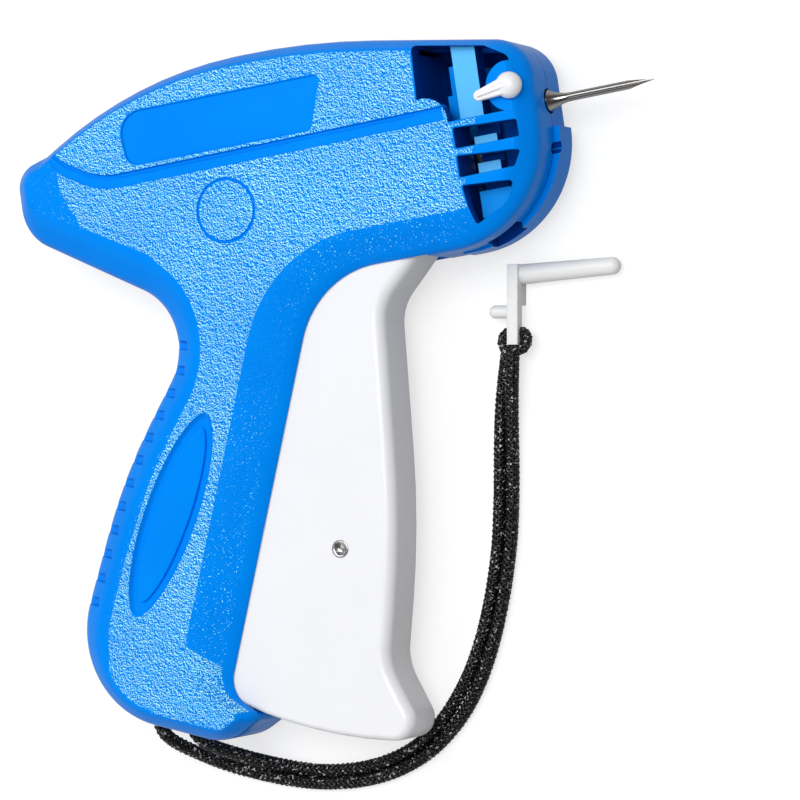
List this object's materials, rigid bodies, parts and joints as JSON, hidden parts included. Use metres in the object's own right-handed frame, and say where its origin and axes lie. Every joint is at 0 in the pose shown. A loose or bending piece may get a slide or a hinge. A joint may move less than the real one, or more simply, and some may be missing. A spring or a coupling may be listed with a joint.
{
  "type": "garment tag attacher",
  "caption": "Hand tagging gun with a hollow needle, a swinging trigger, a lever-driven ejector, a needle lock and a wrist strap.",
  "frame": {"origin": "middle of the gun's outline in plan, on the left shell's outer face that the gun lies on (strap and clearing tool not counted)", "axes": "+X the way the needle points, +Y towards the gun's top, +Z across the gun from its left shell to its right shell"},
  "size_m": [0.1478, 0.1595, 0.0268],
  "materials": {
    "shell_blue": "bright blue moulded plastic, fine spark texture with polished bands",
    "guide_blue": "lighter blue moulded plastic",
    "white_plastic": "cool white moulded plastic, satin",
    "mechanism_plastic": "natural acetal, satin",
    "steel": "bright zinc-plated steel",
    "needle_steel": "polished stainless steel",
    "black_cord": "braided cord with a light sheen"
  },
  "bodies": {
    "housing": {"left_shell": "shell_blue", "right_shell": "shell_blue", "shell_screws": "steel", "needle": "needle_steel", "needle_hub": "white_plastic", "knife_blade": "steel", "feed_guide": "guide_blue", "feed_wheel_axle": "steel", "detent_spring": "steel", "trigger_pivot_pin": "steel", "lever_pivot_pin": "steel", "lever_bracket": "steel", "bracket_pins": "steel", "return_spring": "steel", "strap_strand_outer": "black_cord", "strap_strand_inner": "black_cord", "strap_end_knot": "black_cord", "strap_hitch_knot": "black_cord", "clearing_tool": "white_plastic"},
    "trigger": {"trigger": "white_plastic", "trigger_pin": "steel", "feed_pawl": "mechanism_plastic"},
    "lever": {"drive_lever": "mechanism_plastic"},
    "ejector": {"ejector_slide": "mechanism_plastic", "slide_pin": "steel", "ejector_rod": "steel"},
    "feed_wheel": {"feed_wheel": "steel"},
    "lock_knob": {"needle_lock_knob": "white_plastic"}
  },
  "joints": [
    {"name": "trigger_swing", "type": "hinge", "parent": "housing", "child": "trigger", "pos_m": [0.0158, 0.03296, 0.012], "axis": [0, 0, -1], "range_deg": [0, 18], "stiffness_Nm_per_rad": 2.4, "springref_deg": -6.88},
    {"name": "lever_swing", "type": "hinge", "parent": "housing", "child": "lever", "pos_m": [-0.0245, -0.00354, 0.012], "axis": [0, 0, -1], "range_deg": [0, 38.6]},
    {"name": "ejector_slide", "type": "slide", "parent": "housing", "child": "ejector", "axis": [1, 0, 0], "range_m": [0, 0.034], "deforming": ["return_spring"]},
    {"name": "feed_wheel_turn", "type": "hinge", "parent": "housing", "child": "feed_wheel", "pos_m": [0.0284, 0.04286, 0.0103], "axis": [0, 0, 1], "range_deg": [0, 30]},
    {"name": "lock_knob_turn", "type": "hinge", "parent": "housing", "child": "lock_knob", "pos_m": [0.0464, 0.05606, 0.012], "axis": [0, 0, -1], "range_deg": [0, 90]}
  ],
  "couplings": [
    {"joint": "lever_swing", "follows": "trigger_swing", "ratio": 2.1444},
    {"joint": "ejector_slide", "follows": "trigger_swing", "m_per_rad": 0.10822},
    {"joint": "feed_wheel_turn", "follows": "trigger_swing", "ratio": 1.6667}
  ]
}
